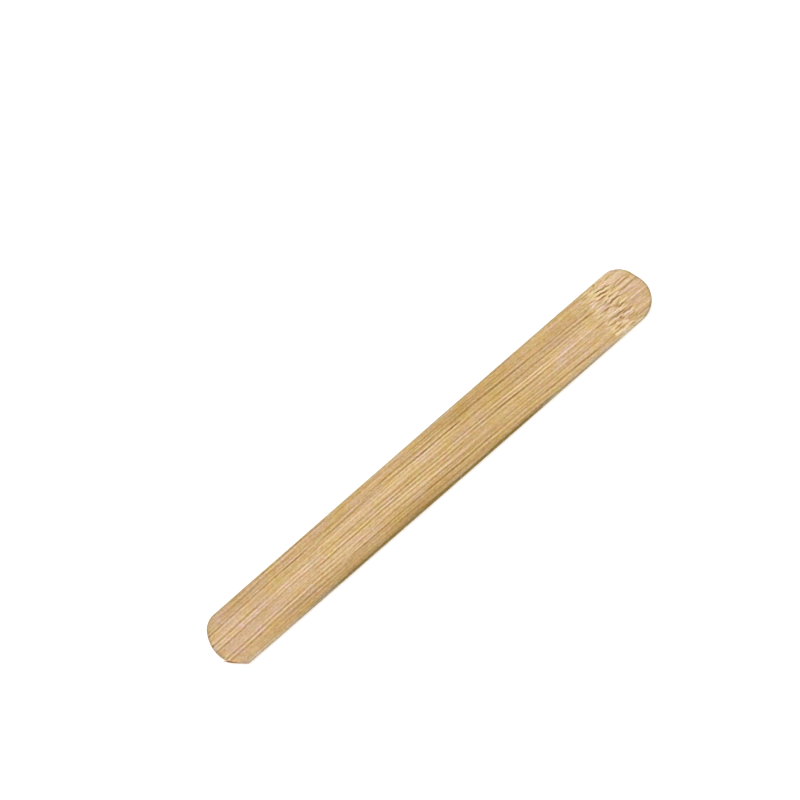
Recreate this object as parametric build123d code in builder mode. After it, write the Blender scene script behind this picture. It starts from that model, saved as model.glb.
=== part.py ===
from build123d import *
import os
from math import cos, radians, sin

os.makedirs("parts", exist_ok=True)

# Tongue depressor, one flat blade cut from a strip of bamboo. Millimetres, +Z up.
# The origin is under the middle of the blade, on the face that it rests on.
# +X runs along the blade to the end with the bamboo node, +Y across it to the left.

# Driving dimensions
blade_length = 140.0
blade_width = 15.0
side_bulge = 0.1
blade_thickness = 1.8
arris_radius = 0.6

# Plain end: one broad arc between a round left shoulder and a tight right corner
plain_end_rise = 3.9
plain_left_radius = 5.0
plain_right_radius = 1.2

# The tight corner is shaved flat with one cut, which leans inwards as it rises
shave_depth = 0.55
shave_angle = 46.0
shave_lean = 12.0

# Node end: cut a little askew, with two unequal round corners
node_end_skew = 16.0
node_left_radius = 5.8
node_right_radius = 6.5

# Swelling that the bamboo node leaves on the upper face
node_setback = 11.4
node_swell_length = 9.0
node_swell_rise = 0.15

# Half sizes. The sides bulge, so the blade is widest in the middle.
half_length = blade_length / 2
half_width = blade_width / 2
half_end = half_width - side_bulge
end_width = 2 * half_end

# Largest share of a wall that a round may take
wall_share = 0.49
widest_round = wall_share * end_width

# The broad arc of the plain end spans the full end width
plain_nose_radius = (half_end**2 + plain_end_rise**2) / (2 * plain_end_rise)
plain_nose_centre_x = plain_nose_radius - half_length
plain_corner_x = plain_end_rise - half_length

# Corners of the skewed edge before they are rounded. The right corner runs past the tip
# by as much as its rounding takes off again.
left_round = min(node_left_radius, widest_round)
right_round = min(node_right_radius, widest_round)
skew_sine = sin(radians(node_end_skew))
skew_cosine = cos(radians(node_end_skew))
right_corner_x = half_length - right_round + right_round * (1 + skew_sine) / skew_cosine
left_corner_x = right_corner_x - end_width * skew_sine / skew_cosine

# The swelling rises and falls in quarter spans, with its top over the node
swell_top_x = half_length - node_setback
quarter_swell = node_swell_length / 4
swell_mid_height = blade_thickness + node_swell_rise / 2

# Plane of the shaving cut, set by its depth at the upper face
shave_outwards = Vector(-cos(radians(shave_angle)), -sin(radians(shave_angle)))
shave_start = Vector(plain_nose_centre_x, 0, blade_thickness)
shave_plane = Plane(
    origin=shave_start + shave_outwards * (plain_nose_radius - shave_depth),
    z_dir=shave_outwards * cos(radians(shave_lean)) + Vector(0, 0, sin(radians(shave_lean))),
)

with BuildPart() as blade:
    # Outline seen from above, with sides that are shallow arcs
    with BuildSketch() as outline:
        with BuildLine():
            left_side = ThreePointArc(
                (plain_corner_x, half_end), (0, half_width), (left_corner_x, half_end)
            )
            skewed_edge = Line(left_side @ 1, (right_corner_x, -half_end))
            right_side = ThreePointArc(
                skewed_edge @ 1, (0, -half_width), (plain_corner_x, -half_end)
            )
            ThreePointArc(right_side @ 1, (-half_length, 0), left_side @ 0)
        make_face()
        for corner, radius in (
            (skewed_edge @ 1, right_round),
            (skewed_edge @ 0, left_round),
            (left_side @ 0, min(plain_left_radius, widest_round)),
            (right_side @ 1, plain_right_radius),
        ):
            fillet(outline.vertices().sort_by_distance(corner)[0], radius=radius)
    extrude(amount=blade_thickness + node_swell_rise)

    # Side view: flat below, with the low swelling of the node above
    with BuildSketch(Plane.XZ) as side_view:
        with BuildLine():
            rise = TangentArc(
                (swell_top_x - 2 * quarter_swell, blade_thickness),
                (swell_top_x - quarter_swell, swell_mid_height),
                tangent=(1, 0),
            )
            crown = TangentArc(
                rise @ 1, (swell_top_x + quarter_swell, swell_mid_height), tangent=rise % 1
            )
            fall = TangentArc(
                crown @ 1, (swell_top_x + 2 * quarter_swell, blade_thickness), tangent=crown % 1
            )
            Polyline(
                fall @ 1,
                (blade_length, blade_thickness),
                (blade_length, 0),
                (-blade_length, 0),
                (-blade_length, blade_thickness),
                rise @ 0,
            )
        make_face()
    extrude(amount=blade_width, both=True, mode=Mode.INTERSECT)

    # Tumbled arris all the way round, above and below
    rims = blade.edges().filter_by(Axis.Z, reverse=True).filter_by(Axis.Y, reverse=True)
    fillet(rims, radius=min(arris_radius, wall_share * blade_thickness))

    # The shaved corner stays crisp
    split(bisect_by=shave_plane, keep=Keep.BOTTOM)

blade.part.label = "blade"
export_step(blade.part, "parts/blade.step")
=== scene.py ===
import math

import bmesh
import bpy
import numpy as np
from mathutils import Matrix, Vector, kdtree


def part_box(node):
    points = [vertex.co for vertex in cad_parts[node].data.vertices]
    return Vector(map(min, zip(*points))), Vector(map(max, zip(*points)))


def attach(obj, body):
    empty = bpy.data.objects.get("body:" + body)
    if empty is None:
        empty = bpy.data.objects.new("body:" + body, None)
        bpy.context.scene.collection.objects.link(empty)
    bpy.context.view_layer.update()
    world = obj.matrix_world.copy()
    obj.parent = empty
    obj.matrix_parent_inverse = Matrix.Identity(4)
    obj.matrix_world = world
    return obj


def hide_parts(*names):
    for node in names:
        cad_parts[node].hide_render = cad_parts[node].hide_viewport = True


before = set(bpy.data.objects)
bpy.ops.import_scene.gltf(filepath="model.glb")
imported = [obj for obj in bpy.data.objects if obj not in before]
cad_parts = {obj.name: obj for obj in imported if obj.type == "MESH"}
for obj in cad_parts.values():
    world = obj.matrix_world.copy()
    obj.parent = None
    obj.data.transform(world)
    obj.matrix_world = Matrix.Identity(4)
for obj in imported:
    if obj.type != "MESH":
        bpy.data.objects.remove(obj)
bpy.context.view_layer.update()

# Blade sizes, in metres. The box comes from the frame, the rounds are those of the solid.
MM = 0.001
BLADE_LOW, BLADE_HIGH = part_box("blade")
HALF_LENGTH = (BLADE_HIGH.x - BLADE_LOW.x) / 2
HALF_WIDTH = (BLADE_HIGH.y - BLADE_LOW.y) / 2
NODE_SWELL = 0.15 * MM
THICKNESS = BLADE_HIGH.z - BLADE_LOW.z - NODE_SWELL
SIDE_BULGE = 0.1 * MM
HALF_END = HALF_WIDTH - SIDE_BULGE
ARRIS = 0.6 * MM
ARRIS_STEPS = 4

# Plain end: a broad arc, its nose, between a round left shoulder and a tight right corner
PLAIN_RISE = 3.9 * MM
PLAIN_LEFT_RADIUS = 5.0 * MM
PLAIN_RIGHT_RADIUS = 1.2 * MM
NOSE_RADIUS = (HALF_END**2 + PLAIN_RISE**2) / (2 * PLAIN_RISE)
NOSE_CENTRE_X = NOSE_RADIUS - HALF_LENGTH

# The tight corner is shaved flat, and its upper edge is taken off by a second cut:
# the depth of each at the upper face, its angle from the blade's end, and its inward lean
SHAVE = (0.55 * MM, math.radians(46), math.radians(4))
UPPER_SHAVE = (0.72 * MM, math.radians(39), math.radians(20))

# Splinter along the shaved corner: place along and across, width and height in millimetres,
# from its free tip. Its middle keeps one level.
SPLINTER = (
    (-70.02, -2.82, 0.1, 0.18),
    (-69.55, -3.38, 0.15, 0.3),
    (-69.05, -3.96, 0.2, 0.44),
    (-68.45, -4.6, 0.26, 0.55),
    (-67.9, -5.14, 0.24, 0.5),
    (-67.2, -5.82, 0.12, 0.3),
)
SPLINTER_LEVEL = 0.85
SPLINTER_SIDES = 10

# Node end
NODE_SKEW = math.radians(16)
NODE_LEFT_RADIUS = 5.8 * MM
NODE_RIGHT_RADIUS = 6.5 * MM
NODE_SETBACK = 11.4 * MM
SWELL_LENGTH = 9.0 * MM

# Mesh density along and across the blade, and how near points have to be to be merged
COLUMNS = 290
ROWS = 122
ROW_SPREAD = math.radians(68)
MERGE_DISTANCE = 0.001 * MM

# Columns stand closer where the node is: from which share of them, and of the length
FINE_COLUMNS = 0.48
FINE_START = 0.74

# Depth of a dark fibre of strength 1, and of a node stroke for each of its levels
FIBRE_RELIEF = 0.01 * MM
STROKE_RELIEF = 0.0006 * MM

# Points along each rim edge, how far in from the rim its distance is measured, in millimetres,
# and the place across the blade from which the shaved corner's edge counts as rim too, for the
# painted shade and grey sheen of the rim
RIM_SAMPLES = 8
RIM_REACH = 2.0
CUT_RIM_Y = -6.7

# Rows of the UV square: where each kind of strip starts and how high it is. The walls take
# four strips and the ends one more. A face is flat when its normal rises over a limit.
TOP_STRIPS, TOP_STRIP_HEIGHT = 0.0, 0.325
UNDER_STRIPS, UNDER_STRIP_HEIGHT = 0.65, 0.085
WALL_STRIPS, WALL_STRIP_HEIGHT = 0.82, 0.034
END_STRIP = 4
UV_MARGIN = 0.3 * MM
FLAT_NORMAL = 0.5

# The photograph's view: where the blade lies in it, in its own 800 pixel frame
PHOTO_PIXELS = 800
BLADE_CENTRE_PIXEL = (430.1, 465.0)
BLADE_LENGTH_PIXELS = 566.0
BLADE_SLOPE = math.radians(41.05)
CAMERA_ELEVATION = math.radians(82)
CAMERA_DISTANCE = 1.5
CAMERA_REACH = 20
SENSOR_WIDTH = 36.0

# Studio light over a glowing white sheet: how bright a white matt surface shows under it,
# and the part of it that a satin surface mirrors
SKY_LIGHT = 1.0
LAMP_WATTS = 3.0
LAMP_SIZE = 0.5
LAMP_RISE = 2.2
SHEET_WHITE = (0.86, 0.86, 0.86, 1)
SHEET_SIZE = 8.0
SHEET_GAP = 0.02 * MM
SHEET_GLOW = 0.3
SHEET_BRIGHTNESS = 1.21
SATIN_MIRROR = 0.048

# Bamboo colours from dark to light, as they show, each with its level on a 0 to 255 scale
BAMBOO_SHADES = (
    (120, (148, 108, 60)),
    (137, (166, 129, 80)),
    (153, (183, 148, 99)),
    (165, (195, 159, 108)),
    (172, (202, 166, 116)),
    (178, (208, 173, 124)),
    (185, (214, 180, 134)),
    (193, (221, 188, 143)),
    (203, (231, 198, 156)),
    (220, (245, 215, 176)),
)
MIDDLE_LEVEL = 180
LEVEL_SPAN = 120

# Satin surface, duller where it is dark, with a fine relief
ROUGHNESS = 0.5
ROUGHNESS_PER_LEVEL = 0.0015
BAMBOO_IOR = 1.45
RELIEF_STRENGTH = 0.4
RELIEF_DEPTH = 0.06 * MM
RELIEF_PER_LEVEL = 0.02

# From here on places, spans and waves of the finish are in millimetres, +x towards the node
# end and +y to the left. A pair is a span over which something starts or ends. A centre and
# a reach make a hump.

# Heights over which the upper face starts, the underside ends, and so on
TOP_STARTS = (1.25, 1.6)
UNDER_ENDS = (0.2, 0.5)
ARRIS_STARTS = (1.1, 1.35)
WALL_ENDS = (1.3, 1.7)

# Fibre paths: they bend slowly, and waver and flame a little. Each wave has its height, its
# turns along and across the blade, and its start. On the underside the fibres are shifted.
FIBRE_BEND = 0.000257
FIBRE_BEND_START = -30.0
WAVERS = ((0.05, 0.19, 0.0, 0.9), (0.03, 0.47, 0.4, 0.0))
FLAMES = ((0.12, 0.5, 1.7, 0.0), (0.05, 1.5, 2.3, 0.0))
FLAME_CENTRE, FLAME_REACH = 58.0, 4.2
STROKE_WAVES = ((0.05, 2.1, 1.3, 0.0), (0.04, 3.7, -0.8, 0.0))
UNDER_SHIFT = 2.6

# Layers of grain: repeats along and across the fibres, detail, roughness and levels
STREAKS = (0.02, 0.9, 2.0, 0.6, 26)
LINES = (0.025, 2.6, 1.0, 0.5, 70)
HAIRS = (0.06, 5.0, 1.0, 0.5, 54)
CLOUDS = (0.06, 0.25, 1.0, 0.5, 14)
GRAIN = (1.4, 3.2, 1.0, 0.5, 54)
PORES = (0.7, 5.5, 0.0, 0.5, 1)
PORE_STARTS = (-0.16, -0.24)
PORE_LEVELS, WALL_PORE_LEVELS = 10, 22

# The fibres come and go, they are calmer at the plain end, and fine grain fades in the node
BREAKS_ALONG, BREAKS_ACROSS, BREAK_DEPTH = 0.13, 0.8, 3
CALM, CALM_ENDS = 0.78, (-60, -36)
NODE_GRAIN = 0.35

# Dark fibres: place across the fibres, where each starts and ends along the blade, strength
DARK_FIBRES = (
    (7.1, -62, -28, 0.7),
    (5.85, -62, -38, 0.6),
    (6.45, -28, 8, 0.5),
    (4.9, -34, 52, 0.75),
    (4.3, -75, -38, 0.8),
    (3.85, -32, 12, 1.3),
    (3.85, 38, 54, 0.7),
    (3.0, -36, 54, 0.5),
    (2.35, -28, 10, 0.7),
    (2.35, 34, 54, 0.6),
    (1.88, -75, -38, 1.0),
    (1.8, 8, 40, 1.1),
    (0.95, 12, 38, 0.4),
    (0.1, -75, 55, 0.75),
    (-0.72, -38, 10, 0.8),
    (-1.75, -55, 56, 0.25),
    (-2.65, -75, 8, 0.95),
    (-2.6, 20, 52, 0.6),
    (-3.65, -75, -32, 0.6),
    (-4.05, -28, 50, 0.75),
    (-4.8, -52, -12, 0.5),
    (-5.6, -58, 8, 0.4),
    (-5.15, 12, 45, 0.35),
)
FIBRE_LEVELS = 25

# Across a fibre, as squared distances: its core, and the pale strip that starts and ends
# beside it. Along it: half of the lengths over which it starts and ends.
CORE_ENDS = (0.0, 0.07)
STRIP_STARTS, STRIP_ENDS, STRIP_SHARE = (0.06, 0.18), (0.2, 0.55), 0.6
FIBRE_START, FIBRE_END = 3, 2

# Levels of the ground in the middle, at the node end, on the right and on the left
GROUND_LEVELS = 5
DULL_CENTRE, DULL_REACH, DULL_LEVELS = 20, 18, 7
PALE_CENTRE, PALE_REACH, PALE_LEVELS = 42, 9, 6
PALE_ROW, PALE_ROW_REACH = -1.7, 2
TIP_STARTS, TIP_LEVELS = (62, 65), 5
RIGHT_BAND, RIGHT_STARTS, RIGHT_ENDS, RIGHT_LEVELS = (-2.2, -5.0), (-95, -25), (-10, 60), 20
LEFT_BAND, LEFT_LEVELS = (2.2, 5.0), 5
LEFT_PALE_STARTS, LEFT_PALE_LEVELS = (46, 62), 11
LEFT_MIDDLE_CENTRE, LEFT_MIDDLE_REACH, LEFT_MIDDLE_LEVELS = 22, 12, 2
LEFT_PLAIN_CENTRE, LEFT_PLAIN_REACH, LEFT_PLAIN_LEVELS = -57, 8, 5

# Zone of the node: where it starts and ends, its jagged border, and its wavy fibres
NODE_STARTS, NODE_ENDS = (54.2, 56.2), (63.2, 64.6)
JAG_ALONG, JAG_ACROSS, JAG, END_JAG_SHARE = 0.15, 1.3, 7, 0.4
WANDER_ALONG, WANDER_ACROSS, WANDER_UP, WANDER_START, WANDER = 0.3, 0.55, 0.5, 4, 8
RIPPLE_SLOPE, RIPPLE_TURNS, RIPPLE_LEVELS = 0.08, 8.5, 8
SHORT_ALONG, SHORT_ACROSS, SHORT_LEVELS = 0.28, 4.2, 110
NODE_LEVELS = 4

# Strokes that the node left in the grain, in which the pale and dark ones are partly painted
# highlight and shade of its ridges: place, half length, half width, slope, levels (dark under 0)
NODE_STROKES = (
    (60.85, 4.89, 2.0, 0.34, -0.19, -56),
    (60.0, 4.03, 1.3, 0.36, -0.17, -74),
    (59.6, 3.1, 1.0, 0.36, -0.15, -46),
    (59.3, 1.9, 0.4, 0.3, -0.4, -26),
    (61.05, 2.25, 0.3, 0.4, 0.0, -30),
    (61.3, 1.03, 1.8, 0.32, -0.04, -58),
    (58.1, 0.24, 1.0, 0.28, -0.08, -40),
    (60.2, -0.28, 0.8, 0.26, -0.4, -30),
    (61.55, -0.2, 0.9, 0.26, 0.4, -26),
    (62.3, -1.15, 1.5, 0.3, -0.05, -54),
    (57.8, -2.3, 1.2, 0.28, -0.06, -44),
    (60.4, -2.55, 1.3, 0.3, -0.03, -54),
    (62.7, -2.5, 1.1, 0.26, 0.0, -24),
    (62.25, -3.2, 1.2, 0.3, -0.07, -50),
    (59.65, -3.45, 0.26, 0.42, 0.0, -60),
    (60.0, -4.05, 0.26, 0.36, 0.0, -30),
    (57.4, -3.5, 1.7, 0.28, -0.22, -32),
    (57.6, -4.8, 0.8, 0.26, -0.05, -34),
    (57.6, -5.5, 1.6, 0.28, 0.0, -26),
    (60.7, -6.5, 0.7, 0.28, -0.1, -30),
    (59.75, 6.9, 0.3, 0.5, 0.0, -34),
    (53.6, 3.2, 1.4, 0.26, 0.05, -20),
    (54.2, 2.0, 1.2, 0.26, -0.1, -18),
    (54.8, -1.75, 1.2, 0.26, 0.0, -24),
    (55.2, -2.6, 0.8, 0.26, -0.2, -24),
    (65.2, 3.05, 2.4, 0.26, 0.0, -32),
    (65.4, 3.95, 1.7, 0.24, 0.0, -22),
    (66.2, 1.6, 2.8, 0.24, 0.0, -20),
    (66.2, 0.55, 2.6, 0.24, 0.0, -12),
    (63.6, 6.1, 0.6, 0.28, 0.1, -22),
    (68.3, -3.3, 0.7, 0.28, 0.0, -26),
    (62.2, -4.75, 1.6, 0.4, -0.03, -20),
    (65.0, -5.85, 2.8, 0.5, 0.0, -14),
    (60.3, 4.48, 1.3, 0.36, -0.12, 62),
    (59.7, 3.55, 1.4, 0.34, -0.16, 60),
    (59.5, 5.45, 1.4, 0.28, -0.1, 20),
    (60.0, 2.4, 0.9, 0.26, 0.12, 34),
    (61.4, 1.58, 1.7, 0.34, 0.08, 52),
    (60.2, 0.28, 0.7, 0.28, 0.0, 30),
    (62.0, 0.58, 1.1, 0.28, 0.0, 32),
    (62.95, -0.7, 1.0, 0.34, 0.05, 56),
    (60.8, -1.6, 1.3, 0.32, -0.03, 50),
    (61.9, -2.05, 1.1, 0.24, 0.0, 26),
    (57.6, -2.9, 1.5, 0.28, -0.03, 34),
    (62.2, -3.7, 1.2, 0.34, -0.06, 62),
    (57.8, -4.15, 0.9, 0.28, -0.1, 36),
    (56.6, -5.15, 0.8, 0.28, 0.0, 30),
    (57.6, -6.15, 1.7, 0.36, -0.05, 56),
    (60.4, -6.05, 0.9, 0.34, 0.1, 38),
    (57.2, 1.55, 1.0, 0.28, -0.1, 38),
    (56.6, 3.05, 0.8, 0.28, 0.2, 34),
    (57.8, 4.7, 0.8, 0.6, 0.0, 22),
    (58.4, -1.2, 0.8, 0.55, 0.0, 22),
    (60.1, -5.0, 0.6, 0.4, 0.0, 28),
    (55.4, 0.3, 0.7, 0.6, 0.0, 12),
    (65.3, 3.48, 1.8, 0.24, 0.0, 34),
    (65.6, 2.35, 1.9, 0.7, 0.0, 16),
    (66.2, 1.06, 2.4, 0.26, 0.0, 28),
    (66.6, -1.65, 1.7, 0.3, -0.03, 14),
    (65.4, -6.5, 1.1, 0.26, 0.0, 16),
)
STROKE_STRENGTH = 1.25
STROKE_TIPS, STROKE_EDGES = (0.5, 1.7), (0.1, 0.85)

# Painted shade and grey sheen of the rounded rim, all round, by the distance from the rim and
# the place along the blade; at the right of the plain end the painted rim is lighter
RIM_FADES, RIGHT_RIM_SHIFT = (0.2, 0.8), 0.1
RIM_LEVELS, END_RIM_LEVELS = 4, 18
TIP_RIM_SHADE_STARTS = (62, 66)
NOSE_RIM_SHADE_ENDS, NOSE_RIM_SHADE = (-66, -62), 0.5
PLAIN_END_FADES, PLAIN_RIM_SHADE, PLAIN_RIGHT_RIM_SHADE = (-52, -42), 0.5, 1.1

# Painted shade along most of the right side, a dark line and a wider shade, and the grey in them
RIGHT_HALF = (-5.5, -6.2)
SIDE_WEAKENS, SIDE_WEAKENING, SIDE_ENDS = (28, 38), 0.5, (50, 57)
LINE_STARTS, LINE_EDGE, LINE_FADES, LINE_LEVELS = (-52, -30), (0.02, 0.2), (0.45, 0.75), 34
SHADE_STARTS, SHADE_FADES, SHADE_LEVELS = (-40, -12), (0.7, 1.4), 14
GREY_STARTS, GREY_FADES = (-56, -34), (0.6, 1.2)
# Painted shade on the walls, which take these levels darker
WALL_LEVELS = 10

# Shaved corner: the zone of fresh bamboo, and how near to its two cuts its brown, partly painted
# shade, and its painted highlight start
FRESH_RIGHT, FRESH_LEFT, FRESH_ENDS = (-6.2, -5.6), (-2.4, -3.0), (-66, -67)
ON_CUT, BRIGHT_STARTS = (-0.1, -0.02), (-0.6, -0.1)
BROWN_LEVELS, BRIGHT_LEVELS, SPLINTER_LEVELS = 20, 12, 62

# Patches of colour: repeats along and across the fibres, start, and the tints of their high
# and low parts. A tint multiplies red, green and blue.
PATCHES = (
    (0.2, 0.4, 0, (1.0, 1.0, 1.34), (1.0, 1.0, 0.72)),
    (0.35, 0.6, 7, (1.04, 0.955, 1.0), (0.96, 1.06, 1.0)),
)
PATCH_DETAIL, PATCH_ROUGHNESS, PATCH_REACH = 3.0, 0.7, 0.18
WALL_CALM = 0.7

# Slow change of colour: bleached at both ends and along one pale row, honey in the middle
BLEACH_ENDS, BLEACH_SHARE, BLEACH_MIDDLE = (-64, -40), 0.6, 0.4
UNBLEACHED_ROWS, UNBLEACHED = (-3, -5), 0.7
TIP_BLEACH_STARTS, TIP_BLEACH_ROW, TIP_BLEACH_REACH = (54, 62), 1, 3.5
HONEY_CENTRE, HONEY_REACH, HONEY_SHARE = 12, 30, 0.6
SIDE_HONEY_CENTRE, SIDE_HONEY_REACH, SIDE_HONEY_ROWS = 30, 20, (8, 20)
BLEACHED_TINT = (1.0, 1.0, 1.2)
HONEY_TINT = (1.0, 1.0, 0.87)
# Tints of the painted grey sheen of the rim, of the painted side shade and of the painted highlight
RIM_SHEEN_TINT = (0.92, 1.08, 1.4)
GREY_SIDE_TINT = (0.99, 1.16, 1.9)
CUT_HIGHLIGHT_TINT = (1.06, 0.98, 0.85)
BROWN_TINT = (1.04, 0.9, 0.95)
NODE_TINT = (1.0, 1.03, 1.0)
BROWN_TINT_SHARE = 0.5


def smooth(value, low, high):
    """0 below low and 1 above high, with a soft rise between. The two may be turned round."""
    if isinstance(value, Shade):
        return value.ranged(low, high, 0, 1)
    part = np.clip((value - low) / (high - low), 0, 1)
    return part * part * (3 - 2 * part)


def sine(value):
    return value.sine() if isinstance(value, Shade) else np.sin(value)


def bell(value):
    """1 at zero, falling away on both sides."""
    return 1 / (1 + value * value * value * value)


def hump(value, centre, reach):
    """1 at the centre, and half of that at the reach from it."""
    return bell((value - centre) / reach)


def waves(x, y, rows):
    """Sum of a few small waves over the blade."""
    total = 0
    for height, along, across, start in rows:
        total = total + height * sine(along * x + across * y + start)
    return total


def across_fibres(x, y):
    """Place across the fibres: a line of one value is a fibre's own path."""
    drift = FIBRE_BEND * (x - FIBRE_BEND_START) * (x - FIBRE_BEND_START)
    flames = hump(x, FLAME_CENTRE, FLAME_REACH) * waves(x, y, FLAMES)
    return y + drift + waves(x, y, WAVERS) + flames


def fibre_tone(x, across):
    """Levels taken off along the dark fibres, and added in the pale strips beside them."""
    tone = 0
    for place, start, end, strength in DARK_FIBRES:
        apart = across - place
        apart = apart * apart
        core = 1 - smooth(apart, *CORE_ENDS)
        beside = smooth(apart, *STRIP_STARTS) * (1 - smooth(apart, *STRIP_ENDS))
        started = smooth(x, start - FIBRE_START, start + FIBRE_START)
        shown = started * (1 - smooth(x, end - FIBRE_END, end + FIBRE_END))
        tone = tone + strength * shown * (STRIP_SHARE * beside - core)
    return tone


def broad_tone(x, y):
    """Levels of the ground: darker along the right side, paler towards the node end."""
    pale_row = hump(x, PALE_CENTRE, PALE_REACH) * hump(y, PALE_ROW, PALE_ROW_REACH)
    middle = GROUND_LEVELS - DULL_LEVELS * hump(x, DULL_CENTRE, DULL_REACH) + PALE_LEVELS * pale_row
    middle = middle + TIP_LEVELS * smooth(x, *TIP_STARTS)
    right = smooth(y, *RIGHT_BAND) * smooth(x, *RIGHT_STARTS) * (1 - smooth(x, *RIGHT_ENDS))
    left = LEFT_LEVELS - LEFT_PALE_LEVELS * smooth(x, *LEFT_PALE_STARTS)
    left = left + LEFT_MIDDLE_LEVELS * hump(x, LEFT_MIDDLE_CENTRE, LEFT_MIDDLE_REACH)
    left = left + LEFT_PLAIN_LEVELS * hump(x, LEFT_PLAIN_CENTRE, LEFT_PLAIN_REACH)
    return middle - RIGHT_LEVELS * right - smooth(y, *LEFT_BAND) * left


def past_cut(x, y, z, cut):
    """How far a place, in millimetres, lies outside the plane of one of the corner's cuts."""
    depth, angle, lean = cut
    out = math.cos(angle) * (NOSE_CENTRE_X / MM - x) - math.sin(angle) * y
    return out + (z - THICKNESS / MM) * math.tan(lean) - (NOSE_RADIUS - depth) / MM


class Shade:
    """A number that varies over a surface, used in plain arithmetic."""

    def __init__(self, finish, socket):
        self.finish = finish
        self.socket = socket

    def math(self, operation, *others):
        inputs = dict(enumerate((self, *others)))
        return self.finish.node("ShaderNodeMath", {"operation": operation}, inputs)

    def __add__(self, other):
        return self.math("ADD", other)

    def __sub__(self, other):
        return self.math("SUBTRACT", other)

    def __rsub__(self, other):
        return (self * -1).math("ADD", other)

    def __mul__(self, other):
        return self.math("MULTIPLY", other)

    def __truediv__(self, other):
        return self.math("DIVIDE", other)

    def __rtruediv__(self, other):
        inputs = {0: other, 1: self}
        return self.finish.node("ShaderNodeMath", {"operation": "DIVIDE"}, inputs)

    __radd__ = __add__
    __rmul__ = __mul__

    def sine(self):
        return self.math("SINE")

    def ranged(self, low, high, to_low, to_high):
        """Low to high becomes to_low to to_high, softly and clamped."""
        settings = {"interpolation_type": "SMOOTHSTEP"}
        inputs = {0: self, 1: low, 2: high, 3: to_low, 4: to_high}
        return self.finish.node("ShaderNodeMapRange", settings, inputs)


class Finish:
    """A node material, built one node at a time."""

    def __init__(self, name):
        self.material = bpy.data.materials.new(name)
        self.material.use_nodes = True
        self.tree = self.material.node_tree
        self.surface = self.tree.nodes["Principled BSDF"]

    def node(self, kind, settings, inputs, output=0):
        made = self.tree.nodes.new(kind)
        for name, value in settings.items():
            if name == "stops":
                self.set_stops(made.color_ramp, value)
            else:
                setattr(made, name, value)
        for key, value in inputs.items():
            self.feed(made.inputs[key], value)
        return Shade(self, made.outputs[output])

    def feed(self, socket, value):
        if isinstance(value, Shade):
            self.tree.links.new(value.socket, socket)
        else:
            socket.default_value = value

    def set_stops(self, ramp, stops):
        while len(ramp.elements) < len(stops):
            ramp.elements.new(1.0)
        for element, (position, colour) in zip(ramp.elements, stops):
            element.position = position
            element.color = (*colour, 1.0)

    def place(self):
        """Millimetres along, across and up."""
        coordinates = self.node("ShaderNodeTexCoord", {}, {}, "Object")
        axes = [self.node("ShaderNodeSeparateXYZ", {}, {0: coordinates}, n) for n in range(3)]
        return [axis * (1 / MM) for axis in axes]

    def attribute(self, name):
        """A number that the mesh holds at each of its points, or 0 where it holds none."""
        return self.node("ShaderNodeAttribute", {"attribute_name": name}, {}, "Fac")

    def noise(self, along, across, up, detail=2.0, roughness=0.5):
        """Soft noise about 0, mostly between -0.25 and 0.25."""
        point = self.node("ShaderNodeCombineXYZ", {}, {0: along, 1: across, 2: up})
        inputs = {"Vector": point, "Scale": 1.0, "Detail": detail, "Roughness": roughness}
        return self.node("ShaderNodeTexNoise", {}, inputs) - 0.5

    def tint(self, base, colour, share):
        """Base colour multiplied by another one, by a share that runs from 0 to 1."""
        settings = {"data_type": "RGBA", "blend_type": "MULTIPLY"}
        return self.node("ShaderNodeMix", settings, {0: share, 6: base, 7: (*colour, 1.0)}, 2)


def seen(red, green, blue):
    """Base colour that shows as this display colour under the studio light."""
    linear = [((c / 255 + 0.055) / 1.055) ** 2.4 for c in (red, green, blue)]
    return tuple(max(c - SATIN_MIRROR, 0) / SHEET_BRIGHTNESS for c in linear)


def level_stops():
    """Stops of the ramp that turns a level into a bamboo colour."""
    stops = []
    for level, colour in BAMBOO_SHADES:
        stops.append((0.5 + (level - MIDDLE_LEVEL) / LEVEL_SPAN, seen(*colour)))
    return stops


def grain_layer(finish, x, across, z, layer):
    """Levels of one layer of grain, drawn out along the fibres."""
    along, apart, detail, roughness, levels = layer
    return finish.noise(x * along, across * apart, z * apart, detail, roughness) * levels


def node_tone(finish, x, y, z):
    """Levels of the wavy strokes where the node was, and how far each place is in it."""
    jagged = finish.noise(x * JAG_ALONG, y * JAG_ACROSS, z) * JAG
    started = smooth(x + jagged, *NODE_STARTS)
    in_node = started * (1 - smooth(x + END_JAG_SHARE * jagged, *NODE_ENDS))
    wander = finish.noise(x * WANDER_ALONG + WANDER_START, y * WANDER_ACROSS, z * WANDER_UP)
    wander = wander * WANDER
    row = y + RIPPLE_SLOPE * x
    wave = sine(RIPPLE_TURNS * row + wander)
    short = finish.noise(x * SHORT_ALONG, row * SHORT_ACROSS, z * SHORT_ACROSS, 1.0)
    # The node's strokes are partly painted highlight and shade of its ridges
    drawn = finish.attribute("node_strokes")
    rippled = wave * RIPPLE_LEVELS + SHORT_LEVELS * short + NODE_LEVELS
    return in_node * rippled + drawn, in_node


def painted_rim_shade(x, from_rim, right_half, arris):
    """Painted shade and grey sheen of the rim, and how dark that shade is along the blade."""
    rim = (1 - smooth(from_rim - RIGHT_RIM_SHIFT * right_half, *RIM_FADES)) * arris
    plain_end = 1 - smooth(x, *PLAIN_END_FADES)
    ends = smooth(x, *TIP_RIM_SHADE_STARTS) + NOSE_RIM_SHADE * (1 - smooth(x, *NOSE_RIM_SHADE_ENDS))
    return rim, ends + plain_end * (PLAIN_RIM_SHADE - PLAIN_RIGHT_RIM_SHADE * right_half)


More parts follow.
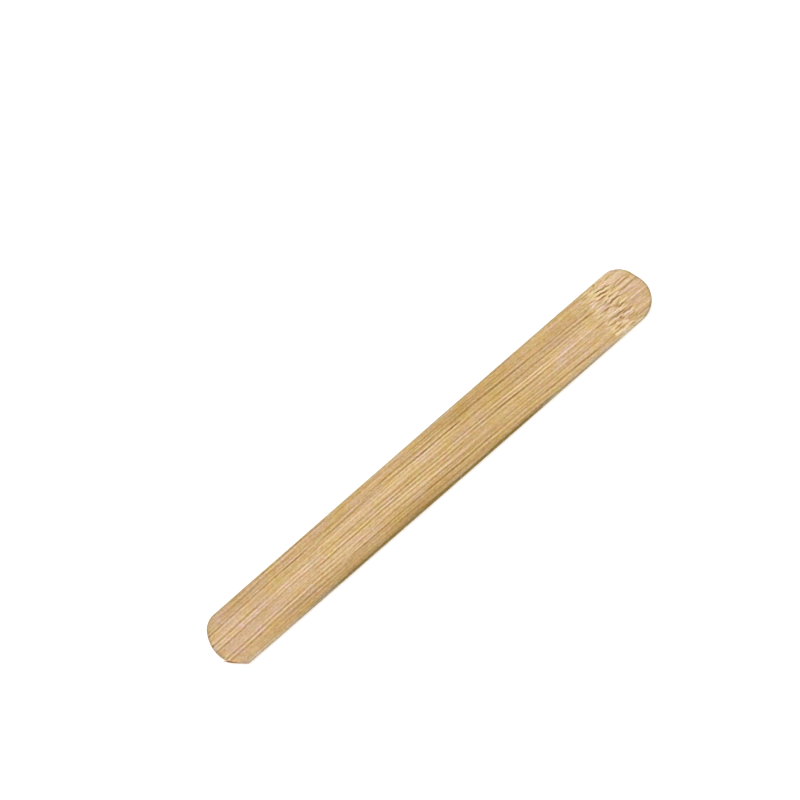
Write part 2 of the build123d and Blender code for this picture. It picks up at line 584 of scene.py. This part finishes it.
def dark_side(x, from_rim, right_side):
    """Levels of the painted shade along the right side: a dark line and a wider shade."""
    line_width = smooth(from_rim, *LINE_EDGE) * (1 - smooth(from_rim, *LINE_FADES))
    line = right_side * smooth(x, *LINE_STARTS) * line_width
    shade = right_side * smooth(x, *SHADE_STARTS) * (1 - smooth(from_rim, *SHADE_FADES))
    return LINE_LEVELS * line + SHADE_LEVELS * shade


def cut_marks(x, y, z):
    """Shaved corner: fresh bamboo, painted shade on brown grain low on its cut, painted highlight
    at top.
    """
    fresh = smooth(y, *FRESH_RIGHT) * smooth(y, *FRESH_LEFT) * smooth(x, *FRESH_ENDS)
    upper = past_cut(x, y, z, UPPER_SHAVE)
    brown = smooth(past_cut(x, y, z, SHAVE), *ON_CUT) * fresh * (1 - smooth(upper, *ON_CUT))
    return fresh, brown, smooth(upper, *BRIGHT_STARTS) * fresh


def patched(finish, colour, x, across, z, share):
    """Colour with soft patches, paler or deeper in amber and rosier or greener."""
    for along, apart, start, high, low in PATCHES:
        place = (x * along + start, across * apart, z * apart)
        patch = finish.noise(*place, PATCH_DETAIL, PATCH_ROUGHNESS)
        colour = finish.tint(colour, high, share * patch.ranged(0.0, PATCH_REACH, 0, 1))
        colour = finish.tint(colour, low, share * patch.ranged(0.0, -PATCH_REACH, 0, 1))
    return colour


def bleached_share(x, y):
    """How bleached each place is: at both ends, and along one row near the node."""
    middle = hump(y, PALE_ROW, PALE_ROW_REACH)
    bleached = (1 - smooth(x, *BLEACH_ENDS)) * (BLEACH_SHARE + BLEACH_MIDDLE * middle)
    bleached = bleached * (1 - UNBLEACHED * smooth(y, *UNBLEACHED_ROWS))
    bleached = bleached + BLEACH_SHARE * hump(x, PALE_CENTRE, PALE_REACH) * middle
    return bleached + smooth(x, *TIP_BLEACH_STARTS) * hump(y, TIP_BLEACH_ROW, TIP_BLEACH_REACH)


def honey_share(x, y):
    """How honey coloured each place is: in the middle, and more along both sides there."""
    sides = hump(x, SIDE_HONEY_CENTRE, SIDE_HONEY_REACH) * smooth(y * y, *SIDE_HONEY_ROWS)
    return HONEY_SHARE * hump(x, HONEY_CENTRE, HONEY_REACH) + HONEY_SHARE * sides


def bamboo_finish():
    """Bamboo of the blade and of the splinter.

    The order in which the nodes are made matters. When the marks of the rim, of the right
    side and of the shaved corner were made after the fibres, the blade rendered black.
    """
    finish = Finish("bamboo_finish")
    x, y, z = finish.place()
    from_rim = finish.attribute("from_rim")
    across = across_fibres(x, y)
    top = smooth(z, *TOP_STARTS)
    under = 1 - smooth(z, *UNDER_ENDS)
    shown_across = across + UNDER_SHIFT * under
    strokes, in_node = node_tone(finish, x, y, z)
    plain = 1 - in_node

    # Long streaks, lines and hairs, each a bundle of fibres, on clouds and fine grain
    streaks = grain_layer(finish, x, shown_across, z, STREAKS)
    lines = grain_layer(finish, x, shown_across, z, LINES)
    hairs = grain_layer(finish, x, shown_across, z, HAIRS)
    clouds = grain_layer(finish, x, across, z, CLOUDS)
    grain = grain_layer(finish, x, across, z, GRAIN)
    pores = grain_layer(finish, x, across, z, PORES).ranged(*PORE_STARTS, 0, 1)
    breaks = finish.noise(x * BREAKS_ALONG, across * BREAKS_ACROSS, z, 1.0)
    broken = 1 + BREAK_DEPTH * breaks
    calm = CALM + (1 - CALM) * smooth(x, *CALM_ENDS)

    # Painted shade and grey sheen of the rim, painted shade along the right side, and the shaved
    # corner's brown, partly painted shade, and its painted highlight
    right_half = smooth(y, *RIGHT_HALF)
    arris = smooth(z, *ARRIS_STARTS)
    rim, ends = painted_rim_shade(x, from_rim, right_half, arris)
    stretch = (1 - SIDE_WEAKENING * smooth(x, *SIDE_WEAKENS)) * (1 - smooth(x, *SIDE_ENDS))
    right_side = right_half * stretch * arris
    side_levels = dark_side(x, from_rim, right_side)
    wall = 1 - smooth(z, *WALL_ENDS)
    fresh, brown, bright = cut_marks(x, y, z)
    rim = rim * (1 - fresh)
    splinter = finish.attribute("splinter")

    tone = broad_tone(x, y) + clouds + grain
    fibres = fibre_tone(x, shown_across) * FIBRE_LEVELS * plain * broken * (top + under)
    fine = (streaks + lines + hairs) * (NODE_GRAIN + (1 - NODE_GRAIN) * plain)
    tone = tone + calm * (fibres + fine)
    tone = tone - pores * (PORE_LEVELS + WALL_PORE_LEVELS * wall)
    # The node's strokes hold painted highlight and shade, and the walls take a painted shade
    tone = tone + strokes * top - WALL_LEVELS * wall * (1 - under) * (1 - bright)
    # Painted shade of the rim, lighter at the right of the plain end, and painted shade along the
    # right side
    tone = tone - (RIM_LEVELS + END_RIM_LEVELS * ends) * rim * top - side_levels
    # Brown on the shaved cut, partly painted shade, and the painted highlight above it
    tone = tone - BROWN_LEVELS * brown + BRIGHT_LEVELS * bright - SPLINTER_LEVELS * splinter

    shades = {"stops": level_stops()}
    colour = finish.node("ShaderNodeValToRGB", shades, {0: tone * (1 / LEVEL_SPAN) + 0.5})
    colour = patched(finish, colour, x, across, z, 1 - WALL_CALM * wall)
    colour = finish.tint(colour, BLEACHED_TINT, bleached_share(x, y))
    colour = finish.tint(colour, HONEY_TINT, honey_share(x, y))
    # Painted grey sheen of the rim, grey of the painted shade on the right side, painted
    # highlight's tint
    colour = finish.tint(colour, RIM_SHEEN_TINT, rim)
    greyed = right_side * smooth(x, *GREY_STARTS) * (1 - smooth(from_rim, *GREY_FADES))
    colour = finish.tint(colour, GREY_SIDE_TINT, greyed)
    colour = finish.tint(colour, CUT_HIGHLIGHT_TINT, bright)
    colour = finish.tint(colour, BROWN_TINT, splinter + BROWN_TINT_SHARE * brown)
    colour = finish.tint(colour, NODE_TINT, in_node)

    surface = finish.surface
    finish.feed(surface.inputs["Base Color"], colour)
    finish.feed(surface.inputs["Roughness"], ROUGHNESS - ROUGHNESS_PER_LEVEL * tone)
    relief = {
        "Strength": RELIEF_STRENGTH,
        "Distance": RELIEF_DEPTH,
        "Height": tone * RELIEF_PER_LEVEL,
    }
    finish.feed(surface.inputs["Normal"], finish.node("ShaderNodeBump", {}, relief))
    surface.inputs["IOR"].default_value = BAMBOO_IOR
    return finish.material


def arc_x(centre, radius, y, side):
    """Where an arc with this centre stands at y, on the side towards +1 or -1."""
    reach = np.sqrt(np.maximum(radius**2 - (y - centre[1]) ** 2, 0))
    return centre[0] + side * reach


def plain_end_x(y, inset):
    """Outline of the plain end at y, on an outline drawn inwards by inset."""
    nose = arc_x((NOSE_CENTRE_X, 0.0), NOSE_RADIUS - inset, y, -1)
    for radius, side in ((PLAIN_LEFT_RADIUS, 1), (PLAIN_RIGHT_RADIUS, -1)):
        centre_y = side * (HALF_END - radius)
        reach = math.sqrt((NOSE_RADIUS - radius) ** 2 - centre_y**2)
        centre = (NOSE_CENTRE_X - reach, centre_y)
        slope = centre_y / (NOSE_RADIUS - radius)
        touch_y = slope * (NOSE_RADIUS - inset)
        corner = arc_x(centre, radius - inset, y, -1)
        nose = np.where(side * y > side * touch_y, corner, nose)
    return nose


def node_end_x(y, inset):
    """Outline of the node end at y: a skewed edge between two rounds."""
    sine_skew, cosine_skew = math.sin(NODE_SKEW), math.cos(NODE_SKEW)
    right = (HALF_LENGTH - NODE_RIGHT_RADIUS, NODE_RIGHT_RADIUS - HALF_END)
    reach = NODE_RIGHT_RADIUS + cosine_skew * right[0] + sine_skew * right[1]
    left_y = HALF_END - NODE_LEFT_RADIUS
    left = ((reach - NODE_LEFT_RADIUS - sine_skew * left_y) / cosine_skew, left_y)
    edge = (reach - inset - sine_skew * y) / cosine_skew
    for centre, radius, side in ((left, NODE_LEFT_RADIUS, 1), (right, NODE_RIGHT_RADIUS, -1)):
        touch_y = centre[1] + sine_skew * (radius - inset)
        corner = arc_x(centre, radius - inset, y, 1)
        edge = np.where(side * y > side * touch_y, corner, edge)
    return edge


def node_swell(x):
    """Height of the low swelling over the bamboo node."""
    apart = np.clip(np.abs(x - HALF_LENGTH + NODE_SETBACK) / (SWELL_LENGTH / 2), 0, 1)
    return NODE_SWELL * (0.5 + 0.5 * np.cos(math.pi * apart))


def stroke_levels(x, y):
    """Levels of the node's strokes, partly painted highlight and shade, at places given in
    millimetres.
    """
    levels = np.zeros(len(x))
    y = y + waves(x, y, STROKE_WAVES)
    for at_x, at_y, reach, width, slope, strength in NODE_STROKES:
        along = np.abs(x - at_x + slope * (y - at_y)) / reach
        across = np.abs(y - at_y - slope * (x - at_x)) / width
        shown = (1 - smooth(along, *STROKE_TIPS)) * (1 - smooth(across, *STROKE_EDGES))
        levels += strength * shown
    return STROKE_STRENGTH * levels


def blade_mesh():
    """One grid over the blade's flat, a copy of it below, and the rim drawn down between."""
    mesh = bpy.data.meshes.new("bamboo_blade")
    build = bmesh.new()
    bmesh.ops.create_grid(build, x_segments=COLUMNS, y_segments=ROWS, size=1.0)
    build.verts.layers.float_vector.new("outward")
    build.verts.layers.float.new("raised")
    build.verts.layers.float.new("node_strokes")
    lay_flat(build)
    rim = [edge for edge in build.edges if edge.is_boundary]
    point_outwards(build, rim)
    copy_below(build)
    outline = draw_rim_down(build, rim)
    bmesh.ops.remove_doubles(build, verts=build.verts[:], dist=MERGE_DISTANCE)
    bmesh.ops.recalc_face_normals(build, faces=build.faces[:])
    raise_relief(build)
    shave_corner(build, *SHAVE)
    shave_corner(build, *UPPER_SHAVE)
    mark_rim(build, outline)
    unfold(build)
    for face in build.faces:
        face.smooth = True
    build.to_mesh(mesh)
    build.free()
    return mesh


def lay_flat(build):
    """Lay the grid over the flat of the blade, with its rows along the fibres."""
    raised = build.verts.layers.float["raised"]
    points = np.array([vertex.co for vertex in build.verts])
    row = np.sin(points[:, 1] * ROW_SPREAD) / math.sin(ROW_SPREAD)
    y_end = row * (HALF_END - ARRIS)
    x_low, x_high = plain_end_x(y_end, ARRIS), node_end_x(y_end, ARRIS)
    column = np.interp(points[:, 0], (-1, FINE_COLUMNS, 1), (-1, FINE_START, 1))
    x = x_low + (x_high - x_low) * (column + 1) / 2
    bulge = SIDE_BULGE * (1 - np.clip(np.abs(x) / (HALF_LENGTH - PLAIN_LEFT_RADIUS), 0, 1) ** 2)
    y = row * (HALF_END - ARRIS + bulge)
    for vertex, x_here, y_here in zip(build.verts, x, y):
        vertex.co = (x_here, y_here, THICKNESS)
        vertex[raised] = 1.0


def point_outwards(build, rim):
    """Outward direction at each rim point, from its two neighbours."""
    outward = build.verts.layers.float_vector["outward"]
    neighbours = {}
    for edge in rim:
        for here, there in (edge.verts, reversed(edge.verts)):
            neighbours.setdefault(here, []).append(there.co)
    for vertex, (first, second) in neighbours.items():
        along = (first - vertex.co).normalized() - (second - vertex.co).normalized()
        normal = Vector((along.y, -along.x, 0)).normalized()
        if normal.dot(Vector((vertex.co.x * HALF_WIDTH / HALF_LENGTH, vertex.co.y, 0))) < 0:
            normal.negate()
        vertex[outward] = normal


def copy_below(build):
    """A second copy of the flat is the underside."""
    raised = build.verts.layers.float["raised"]
    copied = bmesh.ops.duplicate(build, geom=build.verts[:] + build.edges[:] + build.faces[:])
    under = [item for item in copied["geom"] if isinstance(item, bmesh.types.BMFace)]
    for vertex in {corner for face in under for corner in face.verts}:
        vertex.co.z = 0
        vertex[raised] = 0
    bmesh.ops.reverse_faces(build, faces=under)


def rim_steps():
    """How far out and down each step goes: over the arris, down the wall, under the arris."""
    steps = []
    for half in range(2):
        for step in range(ARRIS_STEPS):
            turns = [math.pi / 2 * (half + (step + part) / ARRIS_STEPS) for part in (0, 1)]
            out = ARRIS * (math.sin(turns[1]) - math.sin(turns[0]))
            down = ARRIS * (math.cos(turns[0]) - math.cos(turns[1]))
            steps.append((out, down))
        if half == 0:
            steps.append((0, THICKNESS - 2 * ARRIS))
    return steps


def draw_rim_down(build, rim):
    """Extrude the upper rim down to the lower one, and keep points of the widest outline."""
    outward = build.verts.layers.float_vector["outward"]
    raised = build.verts.layers.float["raised"]
    height = THICKNESS
    outline = []
    for out, down in rim_steps():
        if not out:
            outline = rim_points(rim)
        height -= down
        made = bmesh.ops.extrude_edge_only(build, edges=rim)["geom"]
        rim = [item for item in made if isinstance(item, bmesh.types.BMEdge)]
        for vertex in [item for item in made if isinstance(item, bmesh.types.BMVert)]:
            vertex.co += vertex[outward] * out - Vector((0, 0, down))
            vertex[raised] = max(height - ARRIS, 0) / (THICKNESS - ARRIS)
    return outline


def rim_points(rim):
    """Points every few hundredths of a millimetre along the outline."""
    points = []
    for edge in rim:
        start, end = (vertex.co.xy for vertex in edge.verts)
        for step in range(RIM_SAMPLES):
            points.append(start.lerp(end, step / RIM_SAMPLES))
    return points


def raise_relief(build):
    """Swelling and the relief of fibres and strokes, where dark ones lie low.

    It fades down the wall.
    """
    raised = build.verts.layers.float["raised"]
    strokes = build.verts.layers.float["node_strokes"]
    points = np.array([vertex.co for vertex in build.verts])
    share = np.array([vertex[raised] for vertex in build.verts])
    x_mm, y_mm = points[:, 0] / MM, points[:, 1] / MM
    levels = share * stroke_levels(x_mm, y_mm)
    fibres = share * fibre_tone(x_mm, across_fibres(x_mm, y_mm))
    lift = share * node_swell(points[:, 0]) + FIBRE_RELIEF * fibres + STROKE_RELIEF * levels
    for vertex, rise, level in zip(build.verts, lift, levels):
        vertex.co.z += rise
        vertex[strokes] = level


def shave_corner(build, depth, angle, lean):
    """One flat leaning cut across the tight corner of the plain end."""
    outwards = Vector((-math.cos(angle), -math.sin(angle), 0))
    start = Vector((NOSE_CENTRE_X, 0, THICKNESS))
    cut = bmesh.ops.bisect_plane(
        build,
        geom=build.verts[:] + build.edges[:] + build.faces[:],
        plane_co=start + outwards * (NOSE_RADIUS - depth),
        plane_no=outwards * math.cos(lean) + Vector((0, 0, math.sin(lean))),
        clear_outer=True,
    )
    edges = [item for item in cut["geom_cut"] if isinstance(item, bmesh.types.BMEdge)]
    bmesh.ops.contextual_create(build, geom=edges)


def mark_rim(build, outline):
    """Distance of every point from the rim, in millimetres, for the finish to read."""
    from_rim = build.verts.layers.float.new("from_rim")
    near = kdtree.KDTree(len(outline))
    for number, point in enumerate(outline):
        near.insert(point.to_3d(), number)
    near.balance()
    for vertex in build.verts:
        place = vertex.co / MM
        distances = [near.find(vertex.co.xy.to_3d())[2] / MM, RIM_REACH]
        if place.y < CUT_RIM_Y:
            distances += [max(-past_cut(*place, cut), 0) for cut in (SHAVE, UPPER_SHAVE)]
        vertex[from_rim] = min(distances)


def unfold(build):
    """UV map named OFBake: two strips for each face, then the walls and the ends."""
    layer = build.loops.layers.uv.new("OFBake")
    strip_length = HALF_LENGTH + 2 * UV_MARGIN
    strip_width = 2 * (HALF_WIDTH + UV_MARGIN)
    wall_height = THICKNESS + NODE_SWELL + 2 * UV_MARGIN
    for face in build.faces:
        normal = face.normal
        half = int(face.calc_center_median().x > 0)
        start = UV_MARGIN + (HALF_LENGTH if half == 0 else 0)
        if normal.z > FLAT_NORMAL:
            row, height = TOP_STRIPS + half * TOP_STRIP_HEIGHT, TOP_STRIP_HEIGHT
        elif normal.z < -FLAT_NORMAL:
            row, height = UNDER_STRIPS + half * UNDER_STRIP_HEIGHT, UNDER_STRIP_HEIGHT
        elif abs(normal.y) > abs(normal.x):
            strip = 2 * int(normal.y > 0) + half
            row, height = WALL_STRIPS + strip * WALL_STRIP_HEIGHT, WALL_STRIP_HEIGHT
        else:
            row, height = WALL_STRIPS + END_STRIP * WALL_STRIP_HEIGHT, WALL_STRIP_HEIGHT
        for loop in face.loops:
            place = loop.vert.co
            along = (place.x + start) / strip_length
            up = (place.z + UV_MARGIN) / wall_height
            across = (place.y + HALF_WIDTH + UV_MARGIN) / strip_width
            if abs(normal.z) > FLAT_NORMAL:
                up = across
            elif abs(normal.y) <= abs(normal.x):
                along = (half + across) / 2
            loop[layer].uv = (along, row + up * height)


def make_blade():
    blade = bpy.data.objects.new("bamboo_blade", blade_mesh())
    bpy.context.scene.collection.objects.link(blade)
    blade.data.materials.append(bamboo_finish())
    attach(blade, "root")
    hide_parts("blade")
    return blade


def splinter_mesh():
    """A thin thread of bamboo, drawn ring by ring from its free tip into the shaved corner."""
    mesh = bpy.data.meshes.new("splinter")
    build = bmesh.new()
    section = build.verts.layers.float_vector.new("section")
    splinter = build.verts.layers.float.new("splinter")
    outwards = Vector((-math.cos(SHAVE[1]), -math.sin(SHAVE[1]), 0))
    bmesh.ops.create_circle(build, cap_ends=True, segments=SPLINTER_SIDES, radius=0.5)
    for vertex in build.verts:
        vertex[section] = vertex.co
        vertex[splinter] = 1.0
    ring = build.edges[:]
    for number, (x, y, width, height) in enumerate(SPLINTER):
        if number:
            made = bmesh.ops.extrude_edge_only(build, edges=ring)["geom"]
            ring = [item for item in made if isinstance(item, bmesh.types.BMEdge)]
        centre = Vector((x, y, SPLINTER_LEVEL))
        for vertex in {corner for edge in ring for corner in edge.verts}:
            across, up = vertex[section].x * width, vertex[section].y * height
            vertex.co = (centre + outwards * across + Vector((0, 0, up))) * MM
    bmesh.ops.contextual_create(build, geom=ring)
    bmesh.ops.recalc_face_normals(build, faces=build.faces[:])
    for face in build.faces:
        face.smooth = len(face.verts) == 4
    build.to_mesh(mesh)
    build.free()
    return mesh


def make_splinter(finish):
    splinter = bpy.data.objects.new("splinter", splinter_mesh())
    bpy.context.scene.collection.objects.link(splinter)
    splinter.data.materials.append(finish)
    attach(splinter, "root")


def make_floor():
    mesh = bpy.data.meshes.new("floor")
    build = bmesh.new()
    bmesh.ops.create_grid(build, x_segments=1, y_segments=1, size=SHEET_SIZE)
    bmesh.ops.translate(build, vec=(0, 0, -SHEET_GAP), verts=build.verts[:])
    build.to_mesh(mesh)
    build.free()
    floor = bpy.data.objects.new("floor", mesh)
    bpy.context.scene.collection.objects.link(floor)
    finish = Finish("white_sheet")
    finish.surface.inputs["Base Color"].default_value = SHEET_WHITE
    finish.surface.inputs["Roughness"].default_value = 1.0
    finish.surface.inputs["Specular IOR Level"].default_value = 0.0
    finish.surface.inputs["Emission Color"].default_value = (1, 1, 1, 1)
    finish.surface.inputs["Emission Strength"].default_value = SHEET_GLOW
    mesh.materials.append(finish.material)


def photo_axes():
    """Right, forward over the ground, and backward from the scene, for the photograph's view."""
    turn = math.atan(math.tan(BLADE_SLOPE) / math.sin(CAMERA_ELEVATION))
    right = Vector((math.cos(turn), -math.sin(turn), 0))
    forward = Vector((math.sin(turn), math.cos(turn), 0))
    up = Vector((0, 0, 1))
    back = up * math.sin(CAMERA_ELEVATION) - forward * math.cos(CAMERA_ELEVATION)
    return right, forward, back


def make_camera():
    """Nearly overhead and far off, with the blade where the photograph has it."""
    right, forward, back = photo_axes()
    shown_up = back.cross(right)
    shown_length = 2 * HALF_LENGTH * math.hypot(right.x, shown_up.x)
    pixel = shown_length / BLADE_LENGTH_PIXELS
    offset_right = (BLADE_CENTRE_PIXEL[0] - PHOTO_PIXELS / 2) * pixel
    offset_down = (BLADE_CENTRE_PIXEL[1] - PHOTO_PIXELS / 2) * pixel
    aim = Vector((0, 0, THICKNESS)) - right * offset_right
    aim += forward * offset_down / math.sin(CAMERA_ELEVATION)
    camera = bpy.data.objects.new("photo_camera", bpy.data.cameras.new("photo_camera"))
    camera.data.sensor_width = SENSOR_WIDTH
    camera.data.lens = SENSOR_WIDTH * CAMERA_DISTANCE / (PHOTO_PIXELS * pixel)
    camera.data.clip_end = CAMERA_REACH
    turned = Matrix((right, shown_up, back)).transposed().to_4x4()
    camera.matrix_world = Matrix.Translation(aim + back * CAMERA_DISTANCE) @ turned
    bpy.context.scene.collection.objects.link(camera)
    bpy.context.scene.camera = camera


def make_lights():
    """A white sky all round, and a large soft lamp from the upper left of the picture."""
    world = bpy.data.worlds.new("white_sky")
    bpy.context.scene.world = world
    world.use_nodes = True
    sky = world.node_tree.nodes["Background"]
    sky.inputs["Color"].default_value = (1, 1, 1, 1)
    sky.inputs["Strength"].default_value = SKY_LIGHT
    right, forward, _ = photo_axes()
    lamp = bpy.data.objects.new("soft_lamp", bpy.data.lights.new("soft_lamp", "AREA"))
    lamp.data.shape = "SQUARE"
    lamp.data.size = LAMP_SIZE
    lamp.data.energy = LAMP_WATTS
    towards = (forward - right).normalized() + Vector((0, 0, LAMP_RISE))
    lamp.location = towards.normalized()
    lamp.rotation_euler = towards.to_track_quat("Z", "Y").to_euler()
    bpy.context.scene.collection.objects.link(lamp)


make_camera()
make_lights()
make_floor()
blade = make_blade()
make_splinter(blade.data.materials[0])
bpy.context.scene.view_settings.view_transform = "Standard"
